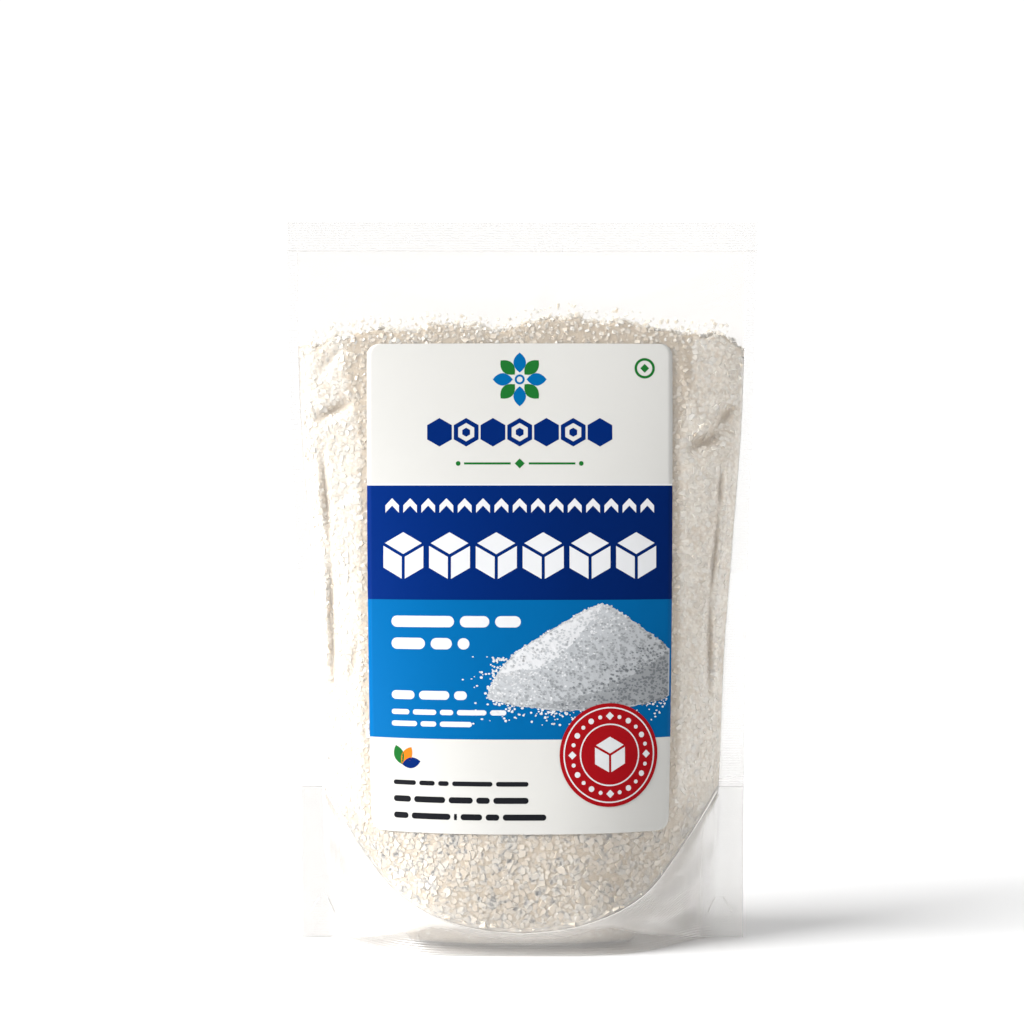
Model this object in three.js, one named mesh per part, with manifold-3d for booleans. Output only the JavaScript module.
// A clear stand-up pouch filled with coarse white sugar, with a label on its front.
// Units are millimetres, +Z is up, the front faces -Y and the pouch stands on z = 0.

import * as THREE from "three";
import { mergeVertices } from "three/addons/utils/BufferGeometryUtils.js";
import Module from "manifold-3d";

// Driving dimensions

const POUCH_HEIGHT = 274;
const TOP_SEAL_HEIGHT = 11;
const TOP_HALF_WIDTH = 90.5;
const BASE_HALF_WIDTH = 85;
const SEAL_THICKNESS = 1.2;

const BELLY_DEPTH = 39.2;
const FLARE_HALF_WIDTH = 75;
const FLARE_BLENDS_BY_Z = 46;
const SKIRT_CREASE_HEIGHT = 12;
const SKIRT_CREASE_RUN_FROM = 33;
const SKIRT_CREASE_RUN_TO = 72;
const SKIRT_TUCK = 1.8;

const GUSSET_FLAT_HALF_WIDTH = 34;
const GUSSET_HOLLOW_END = 68.5;
const GUSSET_RIDGE_START = 40;
const GUSSET_RIDGE_END = 77;
const GUSSET_RIDGE_RISE = 57;
const GUSSET_RIDGE_POWER = 1.3;
const SKIRT_WALL = 1.3;

const SIDE_FOLD_DEPTH = 1.6;
const SIDE_FOLD_WIDTH = 3.2;
const SIDE_FOLD_REACH = 0.925;
const SIDE_FOLD_TOP = 190;
const SIDE_FOLD_BOTTOM = 62;

const LABEL_WIDTH = 116.2;
const LABEL_BOTTOM = 44.8;
const LABEL_TOP = 227;
const LABEL_CENTRE_X = -0.7;
const LABEL_CORNER_RADIUS = 4.5;
const LABEL_GAP = 0.35;
const LABEL_THICKNESS = 0.5;

// The base seal's arc as [distance from the middle, height] pairs: level below the belly, steep at both corners
const ARC_PROFILE = [
  [0, 8.2],
  [16, 9.9],
  [30, 13.6],
  [42, 18.6],
  [50, 24.2],
  [57, 32.4],
  [66, 44.6],
  [77, 59.4],
];

// The other profiles are [height, value] pairs.
const EDGE_PROFILE = [
  [0, BASE_HALF_WIDTH],
  [60, BASE_HALF_WIDTH + 0.3],
  [130, BASE_HALF_WIDTH + 1.3],
  [200, TOP_HALF_WIDTH - 1.6],
  [POUCH_HEIGHT, TOP_HALF_WIDTH],
];
const FILL_PROFILE = [
  [0, FLARE_HALF_WIDTH],
  [40, FLARE_HALF_WIDTH],
  [70, 76.3],
  [110, 77.8],
  [149, 80.8],
  [206, 85],
  [POUCH_HEIGHT, 86],
];
const BELLY_PROFILE = [
  [0, BELLY_DEPTH],
  [24, BELLY_DEPTH],
  [46, 36.6],
  [70, 31.5],
  [100, 25.6],
  [140, 19],
  [180, 13.8],
  [220, 10],
  [240, 7.6],
  [254, 3],
  [POUCH_HEIGHT - TOP_SEAL_HEIGHT, 0],
  [POUCH_HEIGHT, 0],
];

const pouchMaterial = new THREE.MeshStandardMaterial({ color: 0xe6e0d2, roughness: 0.35, metalness: 0 });
const labelMaterial = new THREE.MeshStandardMaterial({ color: 0x0b4fa8, roughness: 0.3, metalness: 0 });

// Smooth curve through a profile's points

function slopeAt(points, index) {
  const before = points[Math.max(index - 1, 0)];
  const after = points[Math.min(index + 1, points.length - 1)];
  return (after[1] - before[1]) / (after[0] - before[0]);
}

function valueAt(points, place) {
  const at = THREE.MathUtils.clamp(place, points[0][0], points[points.length - 1][0]);
  let index = 0;
  while (index < points.length - 2 && at > points[index + 1][0]) index += 1;
  const [low, lowValue] = points[index];
  const [high, highValue] = points[index + 1];
  const span = high - low;
  const t = (at - low) / span;
  const start = lowValue * (1 + 2 * t) * (1 - t) ** 2 + slopeAt(points, index) * span * t * (1 - t) ** 2;
  const end = highValue * t * t * (3 - 2 * t) + slopeAt(points, index + 1) * span * t * t * (t - 1);
  return start + end;
}

// Form of the filled pouch: half its depth at a point of the front view

const edgeHalfWidth = (z) => valueAt(EDGE_PROFILE, z);
const fillHalfWidth = (z) => valueAt(FILL_PROFILE, z);
const bellyHalfDepth = (z) => Math.max(valueAt(BELLY_PROFILE, z), 0);

const sealArcHeight = (x) => valueAt(ARC_PROFILE, Math.abs(x));

function skirtCreaseHeight(x) {
  const run = (SKIRT_CREASE_RUN_TO - Math.abs(x)) / (SKIRT_CREASE_RUN_TO - SKIRT_CREASE_RUN_FROM);
  return SKIRT_CREASE_HEIGHT * THREE.MathUtils.clamp(run, 0, 1);
}

// The skirt leans back under its crease, so the belly overhangs the bottom edge.
function skirtTuck(x, z) {
  const crease = skirtCreaseHeight(x);
  return z < crease ? (SKIRT_TUCK * (crease - z)) / SKIRT_CREASE_HEIGHT : 0;
}

// A shallow upright fold in the film just inside each side seal
function sideFold(reach, z) {
  const away = ((reach - SIDE_FOLD_REACH) * fillHalfWidth(z)) / SIDE_FOLD_WIDTH;
  const rise = THREE.MathUtils.smoothstep(z, SIDE_FOLD_BOTTOM, SIDE_FOLD_BOTTOM + 30);
  const fall = 1 - THREE.MathUtils.smoothstep(z, SIDE_FOLD_TOP - 30, SIDE_FOLD_TOP);
  return SIDE_FOLD_DEPTH * Math.exp(-away * away) * rise * fall;
}

// A cross-section is a rounded lens; towards the base it becomes a flare with flat corners.
function halfDepth(x, z) {
  const reach = Math.min(Math.abs(x) / fillHalfWidth(z), 1);
  const rounded = THREE.MathUtils.smoothstep(z, 0, FLARE_BLENDS_BY_Z);
  const innerPower = THREE.MathUtils.lerp(4.5, 2.5, rounded);
  const outerPower = THREE.MathUtils.lerp(2.7, 0.8, rounded);
  const bulge = bellyHalfDepth(z) * (1 - reach ** innerPower) ** outerPower;
  const eased = bulge - skirtTuck(x, z) - sideFold(reach, z);
  return SEAL_THICKNESS / 2 + Math.max(eased, 0);
}

// Meshes as triangle lists, and booleans on them

function closedGeometry(vertices, indices) {
  const geometry = new THREE.BufferGeometry();
  geometry.setAttribute("position", new THREE.Float32BufferAttribute(vertices.flat(), 3));
  geometry.setIndex(indices);
  return mergeVertices(geometry, 1e-3);
}

function toManifold(wasm, geometry) {
  const vertProperties = new Float32Array(geometry.attributes.position.array);
  const triVerts = new Uint32Array(geometry.index.array);
  return new wasm.Manifold(new wasm.Mesh({ numProp: 3, vertProperties, triVerts }));
}

function fromManifold(solid) {
  const { vertProperties, triVerts } = solid.getMesh();
  const geometry = new THREE.BufferGeometry();
  geometry.setAttribute("position", new THREE.BufferAttribute(vertProperties, 3));
  geometry.setIndex(new THREE.BufferAttribute(triVerts, 1));
  geometry.computeVertexNormals();
  return geometry;
}

// A ring runs out along one side and back along the other, so rungs between the two close its end.
function ringCap(size) {
  const triangles = [];
  for (let low = 0; low < size - 2 - low; low += 1) {
    const high = size - 1 - low;
    triangles.push([low, low + 1, high]);
    if (low + 1 < high - 1) triangles.push([low + 1, high - 1, high]);
  }
  return triangles;
}

// Joins rings of equal length, one after another, and closes the first and the last.
function loft(rings) {
  const size = rings[0].length;
  const indices = [];
  for (let ring = 0; ring < rings.length - 1; ring += 1) {
    for (let step = 0; step < size; step += 1) {
      const a = ring * size + step;
      const b = ring * size + ((step + 1) % size);
      indices.push(a, b, b + size, a, b + size, a + size);
    }
  }
  const last = (rings.length - 1) * size;
  for (const [a, b, c] of ringCap(size)) {
    indices.push(a, c, b);
    indices.push(last + a, last + b, last + c);
  }
  return closedGeometry(rings.flat(), indices);
}

// Outer envelope: level rings that run along the front from -X to +X and back behind

const COLUMN_REACHES = [0, 0.1, 0.2, 0.3, 0.4, 0.5, 0.59, 0.67, 0.74, 0.8, 0.85, 0.89, 0.925, 0.96, 0.985, 1];
const ROW_HEIGHTS = [
  0, 3, 6, 9, 12, 16, 20, 25, 31, 38, 46, 56, 68, 80, 94, 110, 126, 142, 158, 174, 190, 206, 220, 232, 240, 247,
  254, POUCH_HEIGHT - TOP_SEAL_HEIGHT, POUCH_HEIGHT,
];

function envelopeRing(z) {
  const rightSide = COLUMN_REACHES.map((reach) => reach * fillHalfWidth(z));
  rightSide.push(edgeHalfWidth(z));
  const leftSide = rightSide.slice(1).reverse().map((x) => -x);
  const columns = [...leftSide, ...rightSide];
  const front = columns.map((x) => [x, -halfDepth(x, z), z]);
  const back = columns.toReversed().map((x) => [x, halfDepth(x, z), z]);
  return [...front, ...back];
}

// Hollow under the gusset at one corner, open below, between the front and back skirts

const HOLLOW_STATIONS = 9;
const HOLLOW_WALL_STEPS = 7;
const BELOW_GROUND = -3;

function hollowSection(side, x) {
  const along = THREE.MathUtils.smoothstep(x, GUSSET_FLAT_HALF_WIDTH, GUSSET_FLAT_HALF_WIDTH + 24);
  const wallTop = Math.max(sealArcHeight(x) * along, 0.4);
  const ridgeRun = Math.max(x - GUSSET_RIDGE_START, 0) / (GUSSET_RIDGE_END - GUSSET_RIDGE_START);
  const ridge = Math.max(GUSSET_RIDGE_RISE * ridgeRun ** GUSSET_RIDGE_POWER, 0.3);
  const halfWidthAt = (z) => halfDepth(x, Math.max(z, 0)) - SKIRT_WALL;
  const wall = [[halfWidthAt(0), BELOW_GROUND]];
  for (let step = 1; step <= HOLLOW_WALL_STEPS; step += 1) {
    const z = (wallTop * step) / HOLLOW_WALL_STEPS;
    wall.push([halfWidthAt(z), z]);
  }
  const near = wall.map(([y, z]) => [side * x, -y, z]);
  const far = wall.toReversed().map(([y, z]) => [side * x, y, z]);
  return [...near, [side * x, 0, Math.min(ridge, wallTop)], ...far];
}

function cornerHollow(side) {
  const sections = [];
  for (let station = 0; station < HOLLOW_STATIONS; station += 1) {
    const x = THREE.MathUtils.lerp(GUSSET_FLAT_HALF_WIDTH, GUSSET_HOLLOW_END, station / (HOLLOW_STATIONS - 1));
    sections.push(hollowSection(side, x));
  }
  return loft(side > 0 ? sections.toReversed() : sections);
}

// The label lies on the front: its width is measured along the curved film

function filmPoint(x, z, proud) {
  const step = 0.05;
  const slopeX = (halfDepth(x + step, z) - halfDepth(x - step, z)) / (2 * step);
  const slopeZ = (halfDepth(x, z + step) - halfDepth(x, z - step)) / (2 * step);
  const normal = new THREE.Vector3(-slopeX, -1, -slopeZ).normalize();
  return new THREE.Vector3(x, -halfDepth(x, z), z).addScaledVector(normal, proud).toArray();
}

function xAlongFilm(distance, z) {
  const steps = 40;
  const part = distance / steps;
  let x = LABEL_CENTRE_X;
  for (let step = 0; step < steps; step += 1) {
    const slope = (halfDepth(x + 0.1, z) - halfDepth(x - 0.1, z)) / 0.2;
    x += part / Math.hypot(1, slope);
  }
  return x;
}

function labelRows() {
  const rows = [];
  const cornerSteps = 3;
  const bodySteps = 12;
  for (let step = 0; step <= cornerSteps; step += 1) {
    const angle = (Math.PI / 2) * (1 - step / cornerSteps);
    rows.push({ rise: LABEL_CORNER_RADIUS * (1 - Math.sin(angle)), inset: LABEL_CORNER_RADIUS * (1 - Math.cos(angle)) });
  }
  const lower = rows.map(({ rise, inset }) => ({ z: LABEL_BOTTOM + rise, inset }));
  const upper = rows.toReversed().map(({ rise, inset }) => ({ z: LABEL_TOP - rise, inset }));
  const middle = [];
  for (let step = 1; step < bodySteps; step += 1) {
    const straight = LABEL_TOP - LABEL_BOTTOM - 2 * LABEL_CORNER_RADIUS;
    middle.push({ z: LABEL_BOTTOM + LABEL_CORNER_RADIUS + (straight * step) / bodySteps, inset: 0 });
  }
  return [...lower, ...middle, ...upper];
}

function labelRing({ z, inset }) {
  const columns = 16;
  const half = LABEL_WIDTH / 2 - inset;
  const outer = [];
  const inner = [];
  for (let column = 0; column <= columns; column += 1) {
    const x = xAlongFilm(THREE.MathUtils.lerp(-half, half, column / columns), z);
    outer.push(filmPoint(x, z, LABEL_GAP + LABEL_THICKNESS));
    inner.push(filmPoint(x, z, LABEL_GAP));
  }
  return [...outer, ...inner.reverse()];
}

// Assembly

const wasm = await Module();
wasm.setup();

const envelope = toManifold(wasm, loft(ROW_HEIGHTS.map(envelopeRing)));
const leftHollow = toManifold(wasm, cornerHollow(-1));
const rightHollow = toManifold(wasm, cornerHollow(1));
const pouch = new THREE.Mesh(fromManifold(envelope.subtract(leftHollow).subtract(rightHollow)), pouchMaterial);
pouch.name = "pouch";

const labelGeometry = loft(labelRows().map(labelRing));
labelGeometry.computeVertexNormals();
const label = new THREE.Mesh(labelGeometry, labelMaterial);
label.name = "label";

const sugarPouch = new THREE.Group();
sugarPouch.add(pouch, label);

export default sugarPouch;
